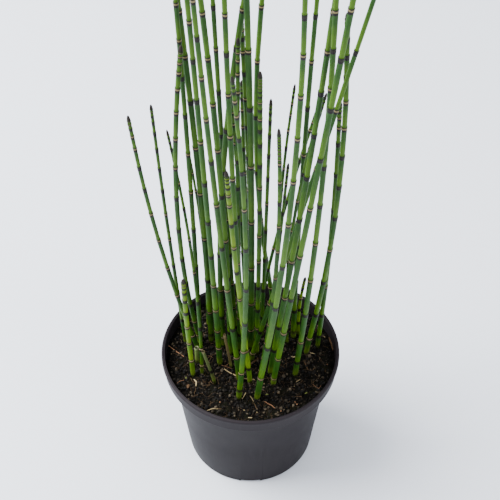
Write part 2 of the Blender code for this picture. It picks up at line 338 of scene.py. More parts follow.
def makeJointBands(ridges):
    look = bandLook
    group, given, out = newGroup(
        "jointBands",
        [
            ("youngGreen", "NodeSocketColor", (0.1, 0.2, 0.01, 1)),
            ("oldGreen", "NodeSocketColor", (0.035, 0.11, 0.012, 1)),
            ("endColour", "NodeSocketColor", (0.012, 0.008, 0.006, 1)),
            ("endFrom", "NodeSocketFloat", 2.02),
            ("soilLevel", "NodeSocketFloat", 0.125),
        ],
        [("colour", "NodeSocketColor"), ("roughness", "NodeSocketFloat"), ("height", "NodeSocketFloat")],
    )
    mapped = addNode(group, "ShaderNodeUVMap", uv_map="stemMap")
    split = addNode(group, "ShaderNodeSeparateXYZ")
    group.links.new(mapped.outputs["UV"], split.inputs[0])
    around, along = split.outputs[0], split.outputs[1]
    tone = addNode(group, "ShaderNodeAttribute", attribute_name="tone").outputs["Fac"]
    cream = addNode(group, "ShaderNodeAttribute", attribute_name="cream").outputs["Fac"]
    place = objectCoords(group)
    patches = noiseNode(group, *look["patches"], place)
    grains = noiseNode(group, *look["grains"], place)

    # fine pale ridges and dark grooves
    turns = mathNode(group, "MULTIPLY", around, ridges * math.tau)
    wave = mathNode(group, "COSINE", turns)
    groove = maskNode(group, wave, look["groove"], look["grooveShare"])

    # internode: bright above a joint, blue-green below the next one
    share = mathNode(group, "SUBTRACT", along, 1.0)
    drift = mathNode(group, "MULTIPLY_ADD", tone, *look["drift"])
    ripple = mathNode(group, "MULTIPLY_ADD", patches, *look["drift"])
    shifted = mathNode(group, "ADD", mathNode(group, "ADD", share, drift), ripple)
    aged = stepNode(group, shifted, *look["aged"])
    green = mixNode(group, aged, given["youngGreen"], given["oldGreen"])
    bloom = maskNode(group, share, look["bloom"], look["bloomShare"])
    green = mixNode(group, bloom, green, look["bloomColour"])
    green = mixNode(group, groove, green, look["grooveColour"])

    # height above the soil, for the whiter joints near it and the dirty feet
    placeParts = addNode(group, "ShaderNodeSeparateXYZ")
    group.links.new(place, placeParts.inputs[0])
    above = mathNode(group, "SUBTRACT", placeParts.outputs[2], given["soilLevel"])

    # sheath: all dark, or a cream ring between a dark foot and a dark fringe of teeth
    waver = mathNode(group, "MULTIPLY_ADD", patches, *look["waverDrift"])
    toothed = mathNode(group, "MULTIPLY", wave, look["toothWave"])
    level = mathNode(group, "ADD", mathNode(group, "ADD", along, waver), toothed)
    footRing = stepNode(group, level, *look["footRing"])
    fringe = stepNode(group, level, *look["fringe"])
    plainDark = stepNode(group, cream, *look["plainDark"])
    dark = mathNode(group, "MAXIMUM", mathNode(group, "MAXIMUM", footRing, fringe), plainDark)
    whiter = stepNode(group, above, *look["whiter"])
    creamColour = mixNode(group, whiter, *look["creamColours"])
    # painted sheen: an all-dark sheath is painted a little greyer round its middle, a highlight put into
    # its colour
    sheenFoot = stepNode(group, level, *look["sheenFoot"])
    paintedSheen = mathNode(group, "MULTIPLY", sheenFoot, stepNode(group, level, *look["sheenTop"]))
    paintedSheen = mathNode(group, "MULTIPLY", paintedSheen, plainDark)
    darkWithSheen = mixNode(group, paintedSheen, *look["darkAndSheenColours"])
    sheath = mixNode(group, dark, creamColour, darkWithSheen)
    worn = maskNode(group, grains, look["worn"], look["wornShare"])
    sheath = mixNode(group, worn, sheath, look["wornColour"])
    sheathMask = stepNode(group, along, *look["sheath"])
    colour = mixNode(group, sheathMask, green, sheath)

    # ending: a black-brown tip, or the pale broken edge of a stub
    endTo = mathNode(group, "ADD", given["endFrom"], look["endFade"])
    colour = mixNode(group, stepNode(group, along, given["endFrom"], endTo), colour, given["endColour"])

    # feet: paler, then brown with soil
    footLine = mathNode(group, "MULTIPLY_ADD", patches, *look["footDrift"])
    low = mathNode(group, "ADD", above, footLine)
    yellowing = maskNode(group, low, look["yellowing"], look["yellowShare"])
    colour = mixNode(group, yellowing, colour, look["yellowColour"])
    soiled = maskNode(group, low, look["soiled"], look["soiledShare"])
    colour = mixNode(group, soiled, colour, look["soiledColour"])
    group.links.new(colour, out["colour"])

    rough = mathNode(group, "MULTIPLY_ADD", patches, look["roughSpread"], look["roughLeast"])
    rough = mathNode(group, "MULTIPLY_ADD", dark, look["darkRoughness"], rough)
    group.links.new(rough, out["roughness"])
    grainy = mathNode(group, "MULTIPLY", grains, look["grainRelief"])
    tall = mathNode(group, "MULTIPLY_ADD", wave, look["ridgeRelief"], grainy)
    group.links.new(tall, out["height"])
    return group


def floorPaint():
    material, tree, shader = newMaterial("studioPaper", studio["floorRoughness"])
    cloud = noiseNode(tree, *studio["floorCloud"], objectCoords(tree))
    shaded = tuple(c * studio["floorShade"] for c in studio["floorColour"])
    tree.links.new(mixNode(tree, cloud, studio["floorColour"], shaded), shader.inputs["Base Color"])
    return material


def stemPaint(name, bands, values, soilLevel):
    material, tree, shader = newMaterial(name, 0.45, 0.17)
    made = useGroup(
        tree, bands, youngGreen=values["youngGreen"], oldGreen=values["oldGreen"],
        endColour=values["endColour"], endFrom=values["endFrom"], soilLevel=soilLevel,
    )
    tree.links.new(made["colour"], shader.inputs["Base Color"])
    tree.links.new(made["roughness"], shader.inputs["Roughness"])
    tree.links.new(bumpNode(tree, made["height"], *bandLook["bump"]), shader.inputs["Normal"])
    return material


# Stems. One sheath, one internode and one tip are modelled as units, 1 across the radius and
# 1 tall, then copied up each stem. Each ring is (height, width).
stemShape = {
    "ridges": 18,
    "grooveDepth": 0.07,
    "sheath": [(0.0, 1.0), (0.05, 1.06), (0.25, 1.09), (0.45, 1.09), (0.7, 1.12), (0.9, 1.15)],
    "toothLength": 0.16,
    "toothReach": 0.97,
    "slack": 0.001,
    "bendReach": 12 * mm,
    "mouth": [(0.86, 0.99), (0.75, 0.93)],
    "internode": [
        (1.0, 0.93), (1.08, 0.94), (1.2, 0.97), (1.45, 1.0), (1.75, 1.01), (1.95, 1.03), (2.0, 1.0)
    ],
    "tip": [(2.0, 0.93), (2.25, 0.95), (2.5, 0.86), (2.72, 0.66), (2.88, 0.42), (2.96, 0.2)],
    "stubTop": [(2.0, 0.93), (2.7, 0.95), (2.95, 0.96), (3.0, 0.92), (2.98, 0.8), (2.7, 0.74)],
}


def startTube(name, height, width):
    # a ring with a groove at every second vertex
    deselectAll()
    bpy.ops.mesh.primitive_circle_add(
        vertices=2 * stemShape["ridges"], radius=width, location=(0, 0, height)
    )
    tube = bpy.context.object
    tube.name = name
    bpy.ops.object.transform_apply(location=True)
    editMode(tube)
    pickVerts(tube, lambda vert: vert.index % 2)
    inward = 1 - stemShape["grooveDepth"]
    bpy.ops.transform.resize(value=(inward, inward, 1), center_override=(0, 0, height))
    bpy.ops.mesh.select_all(action="SELECT")
    return tube


def growTube(rings):
    # extrudes the selected ring to each next height and width
    for (height, width), (nextHeight, nextWidth) in zip(rings, rings[1:]):
        grow = nextWidth / width
        bpy.ops.mesh.extrude_region_move(TRANSFORM_OT_translate={"value": (0, 0, nextHeight - height)})
        bpy.ops.transform.resize(value=(grow, grow, 1), center_override=(0, 0, nextHeight))


def mapTube(tube):
    # u goes round the tube, v is the unit's own height
    mesh = tube.data
    for layer in list(mesh.uv_layers):
        mesh.uv_layers.remove(layer)
    layer = mesh.uv_layers.new(name="stemMap")
    for face in mesh.polygons:
        places = [mesh.vertices[mesh.loops[i].vertex_index].co for i in face.loop_indices]
        middle = math.atan2(face.center.y, face.center.x)
        for i, place in zip(face.loop_indices, places):
            turn = math.atan2(place.y, place.x) if place.xy.length > 0.01 else middle
            if turn - middle > math.pi:
                turn -= math.tau
            if middle - turn > math.pi:
                turn += math.tau
            layer.data[i].uv = (turn / math.tau, place.z)
    for name in ("tone", "cream"):
        mesh.attributes.new(name, "FLOAT", "POINT")


def makeUnits():
    units = {}
    sheath = startTube("sheathUnit", *stemShape["sheath"][0])
    growTube(stemShape["sheath"])
    top, width = stemShape["sheath"][-1]
    rimLevel = top - stemShape["slack"]
    toothRadius = width * stemShape["toothReach"]
    # the ridges end in teeth, and the rim then turns in to the stem
    pickVerts(sheath, lambda vert: vert.co.z > rimLevel and vert.co.xy.length > toothRadius)
    bpy.ops.transform.translate(value=(0, 0, stemShape["toothLength"]))
    pickVerts(sheath, lambda vert: vert.co.z > rimLevel)
    (mouthHeight, mouthWidth), (deep, deepWidth) = stemShape["mouth"]
    bpy.ops.mesh.extrude_region_move()
    inward = mouthWidth / width
    bpy.ops.transform.resize(value=(inward, inward, 0), center_override=(0, 0, mouthHeight))
    growTube([(mouthHeight, mouthWidth), (deep, deepWidth)])
    objectMode()
    units["sheath"] = sheath

    units["internode"] = startTube("internodeUnit", *stemShape["internode"][0])
    growTube(stemShape["internode"])
    objectMode()

    units["tip"] = startTube("tipUnit", *stemShape["tip"][0])
    growTube(stemShape["tip"])
    bpy.ops.mesh.extrude_region_move()
    bpy.ops.mesh.merge(type="CENTER")
    bpy.ops.transform.translate(value=(0, 0, 3 - stemShape["tip"][-1][0]))
    objectMode()

    units["stubTop"] = startTube("stubTopUnit", *stemShape["stubTop"][0])
    growTube(stemShape["stubTop"])
    bpy.ops.mesh.edge_face_add()
    objectMode()

    units["foot"] = startTube("footUnit", *stemShape["internode"][0])
    bpy.ops.mesh.edge_face_add()
    objectMode()
    for unit in units.values():
        mapTube(unit)
    return units


def readStem(node):
    # the level rings of a packed stem, from its foot up: height, middle and radius
    places = vertArray(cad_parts[node])
    levels = np.unique(np.round(places[:, 2], 5))
    rings = []
    for level in levels:
        ring = np.unique(np.round(places[np.abs(places[:, 2] - level) < 0.00002], 6), axis=0)
        middle = ring.mean(axis=0)
        rings.append((level, middle, np.linalg.norm(ring - middle, axis=1).max()))
    return rings


# How a stem ends: its joints crowd together towards a short blunt cap, and its skin gets yellower
tipRule = {
    "capHeight": 4.5 * mm,
    "shortestGap": 2.8 * mm,
    "sheathShare": 0.32,
    "youngTone": 0.5,
    "youngPower": 6,
    "variedPower": 3,
    "usualCrowding": 0.36,
    "crowding": {"stem_08": 0.3, "stem_12": 0.2, "stem_13": 0.16},
}


class StemLine:
    # where a stem's middle runs and how thick it is, at any height
    def __init__(self, node, isStub):
        rings = readStem(node)
        self.heights = np.array([r[0] for r in rings])
        self.middles = np.array([r[1] for r in rings])
        inner = rings[1:-1] if isStub else rings[1:-2]
        self.joints = [(low[0], high[0]) for low, high in zip(inner[::2], inner[1::2])]
        plain = [rings[0], *inner[::2]]
        if isStub:
            plain.append(rings[-1])
        self.plainHeights = np.array([r[0] for r in plain])
        self.plainRadii = np.array([r[2] for r in plain])
        self.foot = rings[0][0]
        self.top = rings[-1][0]
        if not isStub:
            self.addTopJoints(tipRule["crowding"].get(node, tipRule["usualCrowding"]))

    def addTopJoints(self, crowding):
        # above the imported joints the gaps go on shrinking, down to a short blunt cap
        gap = self.joints[-1][0] - self.joints[-2][0]
        pace = gap / math.sqrt(self.top - self.joints[-2][0])
        sheath = self.joints[-1][1] - self.joints[-1][0]
        low = self.joints[-1][0]
        while True:
            left = self.top - low
            step = max(min(pace * math.sqrt(left), crowding * left), tipRule["shortestGap"])
            if left - step < tipRule["capHeight"]:
                break
            low += step
            self.joints.append((low, low + min(sheath, step * tipRule["sheathShare"])))

    def middle(self, heights):
        return np.stack([np.interp(heights, self.heights, self.middles[:, i]) for i in range(3)], axis=1)

    def radius(self, heights):
        # plain radius, slimmer at the same pace above the last packed joint
        rise = self.plainHeights[-1] - self.plainHeights[0]
        slope = (self.plainRadii[-1] - self.plainRadii[0]) / rise
        beyond = np.maximum(heights - self.plainHeights[-1], 0)
        return np.interp(heights, self.plainHeights, self.plainRadii) + slope * beyond

    def frameAt(self, heights):
        # two directions across the stem
        reach = stemShape["bendReach"]
        ends = self.middle(np.minimum(heights + reach, self.top))
        starts = self.middle(np.maximum(heights - reach, self.foot))
        along = ends - starts
        along /= np.linalg.norm(along, axis=1)[:, None]
        side = np.array([1.0, 0, 0]) - along * along[:, :1]
        side /= np.linalg.norm(side, axis=1)[:, None]
        return side, np.cross(along, side)


def placeUnit(unit, stem, low, high, turn, tone, cream):
    # a copy of a unit, stretched from one height to another along the stem
    piece = unit.copy()
    piece.data = unit.data.copy()
    bpy.context.scene.collection.objects.link(piece)
    places = vertArray(unit)
    base = math.floor(places[:, 2].min() + stemShape["slack"])
    heights = low + (places[:, 2] - base) * (high - low)
    onLine = np.clip(heights, stem.foot, stem.top)
    side, across = stem.frameAt(onLine)
    radius = stem.radius(onLine)[:, None]
    x = places[:, :1] * math.cos(turn) - places[:, 1:2] * math.sin(turn)
    y = places[:, :1] * math.sin(turn) + places[:, 1:2] * math.cos(turn)
    setVerts(piece, stem.middle(onLine) + (side * x + across * y) * radius)
    for name, value in (("tone", tone), ("cream", cream)):
        piece.data.attributes[name].data.foreach_set("value", [value] * len(places))
    return piece


def growStem(name, units, material, isStub, creamOdds):
    stem = StemLine(name, isStub)
    turn = random.uniform(0, math.tau)
    mouth = stemShape["mouth"][-1][0]
    parts = [placeUnit(units["foot"], stem, stem.foot, stem.foot, turn, 0.5, 0)]
    low = stem.foot
    for sheathLow, sheathHigh in stem.joints:
        # the newest growth, at the top, is the yellowest
        share = (sheathLow - stem.foot) / (stem.top - stem.foot)
        tone = random.random() * (1 - share ** tipRule["variedPower"])
        tone -= tipRule["youngTone"] * share ** tipRule["youngPower"]
        cream = 1.0 if random.random() < creamOdds else 0.0
        parts.append(placeUnit(units["internode"], stem, low, sheathLow, turn, tone, cream))
        parts.append(placeUnit(units["sheath"], stem, sheathLow, sheathHigh, turn, tone, cream))
        low = sheathLow + mouth * (sheathHigh - sheathLow)
    ending = units["stubTop"] if isStub else units["tip"]
    parts.append(placeUnit(ending, stem, low, stem.top, turn, random.random(), 0))
    grown = joinPieces(parts, name + "Ridged")
    finishSkin(grown, material, 70)
    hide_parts(name)
    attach(grown, "root")
    return grown


darkTip = {"endColour": (0.012, 0.008, 0.006), "endFrom": 2.02}
brokenTop = {"endColour": (0.34, 0.31, 0.22), "endFrom": 2.9}
dullTop = {"endColour": (0.19, 0.14, 0.08), "endFrom": 2.9}
stemKinds = {
    "tall_stem": {
        "youngGreen": (0.052, 0.12, 0.002),
        "oldGreen": (0.014, 0.056, 0.004),
        "creamOdds": 0.55,
        "slot": "stem_green",
        **darkTip,
    },
    "stem": {
        "youngGreen": (0.047, 0.111, 0.002),
        "oldGreen": (0.012, 0.051, 0.003),
        "creamOdds": 0.4,
        "slot": "stem_green",
        **darkTip,
    },
    "short_shoot": {
        "youngGreen": (0.12, 0.2, 0.004),
        "oldGreen": (0.06, 0.135, 0.004),
        "creamOdds": 0.5,
        "slot": "young_green",
        **darkTip,
    },
    "old_stub": {
        "youngGreen": (0.09, 0.12, 0.02),
        "oldGreen": (0.07, 0.08, 0.025),
        "creamOdds": 0.2,
        "slot": "dead_brown",
        **dullTop,
    },
    "old_stub_1": {
        "youngGreen": (0.16, 0.22, 0.07),
        "oldGreen": (0.13, 0.19, 0.05),
        "creamOdds": 0.2,
        "slot": "dead_brown",
        **brokenTop,
    },
    "old_stub_3": {
        "youngGreen": (0.27, 0.21, 0.11),
        "oldGreen": (0.12, 0.08, 0.035),
        "creamOdds": 0.2,
        "slot": "dead_brown",
        **dullTop,
    },
}
youngStems = ("stem_08",)


def growAllStems(soilLevel):
    units = makeUnits()
    bands = makeJointBands(stemShape["ridges"])
    paints = {}
    for kind, values in stemKinds.items():
        paints[kind] = stemPaint(kind + "Skin", bands, values, soilLevel)
    count = 0
    for name in sorted(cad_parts):
        kind = name if name in stemKinds else name.rstrip("0123456789").rstrip("_")
        if name in youngStems:
            kind = "short_shoot"
        if kind not in stemKinds:
            continue
        values = stemKinds[kind]
        grown = growStem(name, units, paints[kind], kind.startswith("old_stub"), values["creamOdds"])
        count += 1
    for unit in units.values():
        bpy.data.objects.remove(unit)
    print("stems grown:", count)


# Pot: one turned moulding with a rolled lip, a wide collar and four drain channels. Millimetres
potShape = {
    "turnSteps": 144,
    "beadRadius": 1.6,
    "lipHeight": 4,
    "lipWidth": 3.2,
    "lipGroove": 0.45,
    "collarHeight": 16,
    "collarTaper": 1.6,
    "collarStep": 7.6,
    "shoulderDrop": 5,
    "baseRadius": 63.5,
    "wall": 1.6,
    "floor": 2,
    "edgeBreak": 0.8,
    "footRounding": 2.4,
    "channels": 4,
    "channelWidth": 19,
    "channelDepth": 3,
    "channelStart": 26,
    "slotLength": 18,
    "slotWidth": 9,
    "slotRadius": 44,
    "cutPast": 10,
}


def arcPoints(centre, radius, start, end, steps):
    turns = [math.radians(start + (end - start) * i / steps) for i in range(steps + 1)]
    return [(centre[0] + radius * math.cos(a), centre[1] + radius * math.sin(a)) for a in turns]


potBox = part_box("pot")
potRim, potTop = potBox[1].x / mm, potBox[1].z / mm


def potBodyRadius(z):
    collarFoot = potTop - potShape["collarHeight"]
    top = potRim - potShape["collarTaper"] - potShape["collarStep"]
    return potShape["baseRadius"] + (top - potShape["baseRadius"]) * z / collarFoot


def potOutline():
    # the pot's section as (radius, height), down the outside and up the inside
    shape = potShape
    rim, top = potRim, potTop
    bead, edge = shape["beadRadius"], shape["edgeBreak"]
    lipFoot = top - shape["lipHeight"]
    collarFoot = top - shape["collarHeight"]
    shoulder = collarFoot - shape["shoulderDrop"]
    collarRadius = rim - shape["collarTaper"]
    foot = shape["footRounding"]
    inside = rim - shape["lipWidth"]
    points = arcPoints((rim - bead, top - bead), bead, 100, 0, 8)
    points += arcPoints((rim - edge / 2, lipFoot + edge / 2), edge / 2, 0, -80, 3)
    points += arcPoints((rim - edge * 0.6, lipFoot - edge * 0.6), edge / 2, 100, 190, 3)
    points += arcPoints((collarRadius - edge, collarFoot + edge), edge, 10, -90, 5)
    points += arcPoints((potBodyRadius(shoulder) + edge, shoulder - edge / 2), edge, 110, 175, 3)
    points.append((potBodyRadius(shoulder * 0.5), shoulder * 0.5))
    points += arcPoints((potBodyRadius(foot) - foot, foot), foot, -5, -90, 7)
    points += [(0, 0), (0, shape["floor"])]
    points.append((potBodyRadius(shape["floor"]) - shape["wall"] - edge, shape["floor"]))
    points.append((potBodyRadius(shape["floor"] + edge) - shape["wall"], shape["floor"] + edge))
    points.append((potBodyRadius(shoulder) - shape["wall"], shoulder + shape["wall"]))
    points.append((inside - edge / 2, collarFoot + edge))
    points += arcPoints((inside + edge / 2, top - edge), edge / 2, 180, 60, 4)
    points.append((inside + edge * 1.4, top - edge / 2 - shape["lipGroove"]))
    return points


def cutPot(pot, size, place, operation):
    # one box over every drain channel, joined as a cutter
    boxes = []
    for i in range(potShape["channels"]):
        turn = math.radians(-90 + 360 * i / potShape["channels"])
        deselectAll()
        bpy.ops.mesh.primitive_cube_add(size=1)
        box = bpy.context.object
        box.scale = [v * mm for v in size]
        reach, height = place[0] * mm, place[1] * mm
        box.location = (reach * math.cos(turn), reach * math.sin(turn), height)
        box.rotation_euler = (0, 0, turn)
        bpy.ops.object.transform_apply(location=True, rotation=True, scale=True)
        boxes.append(box)
    cutter = joinPieces(boxes, "channelCutter")
    makeActive(pot)
    cut = pot.modifiers.new("cut", "BOOLEAN")
    cut.operation = operation
    cut.object = cutter
    bpy.ops.object.modifier_apply(modifier=cut.name)
    bpy.data.objects.remove(cutter)


def makePot():
    mesh = bpy.data.meshes.new("nurseryPot")
    points = [(radius * mm, 0, height * mm) for radius, height in potOutline()]
    middle = next(i for i, point in enumerate(points) if point[0] == 0)
    edges = [(i, (i + 1) % len(points)) for i in range(len(points)) if i != middle]
    mesh.from_pydata(points, edges, [])
    pot = bpy.data.objects.new("nurseryPot", mesh)
    bpy.context.scene.collection.objects.link(pot)
    editMode(pot)
    bpy.ops.mesh.select_all(action="SELECT")
    bpy.ops.mesh.spin(steps=potShape["turnSteps"], angle=math.tau, center=(0, 0, 0), axis=(0, 0, 1))
    bpy.ops.mesh.select_all(action="SELECT")
    bpy.ops.mesh.remove_doubles(threshold=0.01 * mm)
    bpy.ops.mesh.normals_make_consistent(inside=False)
    objectMode()

    # a rib over each drain channel, then the channel, then the slot that drains into it
    shape = potShape
    start, floor = shape["channelStart"], shape["floor"]
    ribEnd = potBodyRadius(0) - shape["wall"] / 2
    ribHeight = shape["channelDepth"] + floor / 2
    ribSize = (ribEnd - start + 2 * floor, shape["channelWidth"] + 2 * floor, ribHeight)
    ribPlace = ((start - 2 * floor + ribEnd) / 2, floor / 2 + ribHeight / 2)
    cutPot(pot, ribSize, ribPlace, "UNION")
    reach = shape["baseRadius"] + shape["cutPast"]
    channelSize = (reach - start, shape["channelWidth"], 2 * shape["channelDepth"])
    cutPot(pot, channelSize, ((start + reach) / 2, 0), "DIFFERENCE")
    slotSize = (shape["slotLength"], shape["slotWidth"], 2 * shape["cutPast"])
    cutPot(pot, slotSize, (shape["slotRadius"], shape["channelDepth"]), "DIFFERENCE")

    finishSkin(pot, plasticPaint(), 40)
    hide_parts("pot")
    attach(pot, "root")
    print("pot turned:", len(pot.data.polygons), "faces")


plasticLook = {
    "base": (0.0072, 0.0054, 0.0068),
    "scuffed": (0.0135, 0.0112, 0.013),
    # painted light: the collar's paler colour, how much of it is mixed in, and the blur at its lower edge
    "collar": (0.018, 0.0152, 0.0175),
    "collarShare": 0.5,
    "collarBlur": 1 * mm,
    "cloud": (26, 4, 0.6),
    "cloudEnds": (0.42, 0.75),
    "draws": (320, 3, 0.6),
    "drawEnds": (0.35, 0.75),
    "drawStretch": 0.08,
    "drawRelief": 0.5,
    "grain": (2600, 2, 0.5),
    "grainRelief": 0.4,
    "roughness": (0.42, 0.6),
    "gloss": 0.06,
    "bump": (0.25, 0.1 * mm),
}


def plasticPaint():
    # moulded black polypropylene: fine grain, faint draw marks and cloudy scuffs
    look = plasticLook
    material, tree, shader = newMaterial("blackPlastic", 0.45, look["gloss"])
    place = objectCoords(tree)
    cloud = noiseNode(tree, *look["cloud"], place)
    stretch = addNode(tree, "ShaderNodeMapping")
    stretch.inputs["Scale"].default_value = (1, 1, look["drawStretch"])
    tree.links.new(place, stretch.inputs["Vector"])
    draws = noiseNode(tree, *look["draws"], stretch.outputs[0])
    cloudy = stepNode(tree, cloud, *look["cloudEnds"])
    scuff = mathNode(tree, "MULTIPLY", cloudy, stepNode(tree, draws, *look["drawEnds"]))
    colour = mixNode(tree, scuff, look["base"], look["scuffed"])
    # painted light: the collar faces a little downward and gets less light, so it is painted a little paler
    placeParts = addNode(tree, "ShaderNodeSeparateXYZ")
    tree.links.new(place, placeParts.inputs[0])
    collarFoot = (potTop - potShape["collarHeight"]) * mm
    collarEnds = (collarFoot - look["collarBlur"], collarFoot + look["collarBlur"])
    collarLightMask = maskNode(tree, placeParts.outputs[2], collarEnds, look["collarShare"])
    colour = mixNode(tree, collarLightMask, colour, look["collar"])
    tree.links.new(colour, shader.inputs["Base Color"])
    low, high = look["roughness"]
    rough = mathNode(tree, "MULTIPLY_ADD", cloud, high - low, low)
    tree.links.new(rough, shader.inputs["Roughness"])
    grain = mathNode(tree, "MULTIPLY", noiseNode(tree, *look["grain"], place), look["grainRelief"])
    height = mathNode(tree, "MULTIPLY_ADD", draws, look["drawRelief"], grain)
    tree.links.new(bumpNode(tree, height, *look["bump"]), shader.inputs["Normal"])
    return material


# Peat: an uneven crumbly top on a plug of soil that fills the pot
peatShape = {
    "gridSteps": 230,
    "noiseLevel": 0.01,
    "clodSize": 15 * mm,
    "clodRelief": 2.2 * mm,
    "lumpSize": 5.2 * mm,
    "lumpRelief": 3.0 * mm,
    "lumpMiddle": 0.35,
    "lumpShare": 0.6,
    "lumpPatches": 1.7,
    "crumbSize": 1.9 * mm,
    "crumbRelief": 1.3 * mm,
    "crumbMiddle": 0.4,
    "grainSize": 0.9 * mm,
    "grainRelief": 0.35 * mm,
    "edgeDip": 1.5 * mm,
    "edgeWidth": 4 * mm,
    "shoulderStart": 6 * mm,
    "shoulderEnd": 1.6 * mm,
}
soilLevel = 125 * mm
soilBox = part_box("soil")


def peatHeight(x, y):
    shape = peatShape
    place = Vector((x, y, shape["noiseLevel"]))
    height = soilLevel + shape["clodRelief"] * noise.noise(place / shape["clodSize"])
    nearest = noise.voronoi(place / shape["lumpSize"])[0][0]
    lumpy = shape["lumpShare"] + noise.noise(place / shape["clodSize"] * shape["lumpPatches"])
    height += shape["lumpRelief"] * (shape["lumpMiddle"] - nearest) * lumpy
    nearest = noise.voronoi(place / shape["crumbSize"])[0][0]
    height += shape["crumbRelief"] * (shape["crumbMiddle"] - nearest)
    height += shape["grainRelief"] * noise.noise(place / shape["grainSize"])
    fromWall = max(0, 1 - (soilBox[1].x - math.hypot(x, y)) / shape["edgeWidth"])
    return height - shape["edgeDip"] * fromWall


def makePeat():
    low, high = soilBox
    deselectAll()
    bpy.ops.mesh.primitive_grid_add(
        x_subdivisions=peatShape["gridSteps"], y_subdivisions=peatShape["gridSteps"], size=2
    )
    peat = bpy.context.object
    peat.name = "peat"
    places = vertArray(peat)
    x, y = places[:, 0].copy(), places[:, 1].copy()
    places[:, 0] = x * np.sqrt(1 - y * y / 2) * high.x
    places[:, 1] = y * np.sqrt(1 - x * x / 2) * high.x
    places[:, 2] = [peatHeight(px, py) for px, py in places[:, :2]]
    setVerts(peat, places)

    # the plug below: down the wall, in at the pot's shoulder and down to the drain channels
    editMode(peat)
    bpy.ops.mesh.select_all(action="DESELECT")
    bpy.ops.mesh.select_non_manifold()
    shoulder = (potTop - potShape["collarHeight"] - potShape["shoulderDrop"]) * mm
    gap = high.x - (potRim - potShape["lipWidth"]) * mm
    levels = [
        (shoulder + peatShape["shoulderStart"], high.x),
        (shoulder + peatShape["shoulderEnd"], (potBodyRadius(shoulder / mm) - potShape["wall"]) * mm + gap),
        (low.z, (potBodyRadius(low.z / mm) - potShape["wall"]) * mm + gap),
    ]
    radius = high.x
    for height, nextRadius in levels:
        bpy.ops.mesh.extrude_region_move()
        grow = nextRadius / radius
        bpy.ops.transform.resize(value=(grow, grow, 0), center_override=(0, 0, height))
        radius = nextRadius
    bpy.ops.mesh.edge_face_add()
    objectMode()
    finishSkin(peat, peatPaint(), 50)
    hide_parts("soil")
    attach(peat, "root")
    print("peat filled:", len(peat.data.polygons), "faces")


peatLook = {
    "clumps": (90, 4, 0.6),
    "crumbs": (620, 4, 0.65),
    "grit": (1700, 3, 0.6),
    "earth": ((0.0004, 0.0004, 0.0003), (0.0075, 0.0062, 0.004)),
    "earthEnds": (0.48, 0.68),
    "moss": (0.0042, 0.005, 0.0014),
    "mossEnds": (0.48, 0.7),
    "mossShare": 0.6,
    "fleck": (0.045, 0.028, 0.014),
    "fleckEnds": (0.64, 0.72),
    "fleckShare": 0.7,
    "roughSpread": 0.3,
    "roughLeast": 0.7,
    "gloss": 0.05,
    "bump": (0.8, 0.6 * mm),
}


def peatPaint():
    look = peatLook
    material, tree, shader = newMaterial("peatEarth", 0.9, look["gloss"])
    place = objectCoords(tree)
    clumps = noiseNode(tree, *look["clumps"], place)
    crumbs = noiseNode(tree, *look["crumbs"], place)
    grit = noiseNode(tree, *look["grit"], place)
    colour = mixNode(tree, stepNode(tree, crumbs, *look["earthEnds"]), *look["earth"])
    mossy = maskNode(tree, clumps, look["mossEnds"], look["mossShare"])
    colour = mixNode(tree, mossy, colour, look["moss"])
    flecked = maskNode(tree, grit, look["fleckEnds"], look["fleckShare"])
    colour = mixNode(tree, flecked, colour, look["fleck"])
    tree.links.new(colour, shader.inputs["Base Color"])
    rough = mathNode(tree, "MULTIPLY_ADD", crumbs, look["roughSpread"], look["roughLeast"])
    tree.links.new(rough, shader.inputs["Roughness"])
    tree.links.new(bumpNode(tree, crumbs, *look["bump"]), shader.inputs["Normal"])
    return material


# Loose bits on the peat. Crumbs and fibres are modelled once and copied, each copy with its own tone.
# A higher power makes more of the copies small or dark
looseBits = {
    "restReach": 0.8 * mm,
    "strandRise": 0.3,
    "chipRise": 0.15,
    "chipTilt": 0.3,
    "fallenTones": (0.45, 1.0),
    "crumbRise": 0.3,
    "crumbSizePower": 2,
    "crumbTonePower": 5,
    "fibreReach": 0.94,
    "fibreLift": 0.2 * mm,
    "fibreTonePower": 1.5,
    "crumbs": 2800,
    "crumbSize": (0.45 * mm, 2.3 * mm),
    "crumbColours": ((0.0005, 0.0004, 0.0003), (0.065, 0.05, 0.031)),
    "fibres": 900,
    "fibreSize": (3 * mm, 9 * mm),
    "fibreColours": ((0.012, 0.007, 0.004), (0.11, 0.065, 0.03)),
    "strandColours": {
        "straw": ((0.09, 0.06, 0.025), (0.27, 0.21, 0.11)),
        "bark": ((0.01, 0.006, 0.003), (0.06, 0.032, 0.013)),
        "root": ((0.06, 0.028, 0.014), (0.2, 0.1, 0.05)),
        "leaf": ((0.02, 0.028, 0.004), (0.075, 0.085, 0.018)),
    },
    "clear": 3 * mm,
}

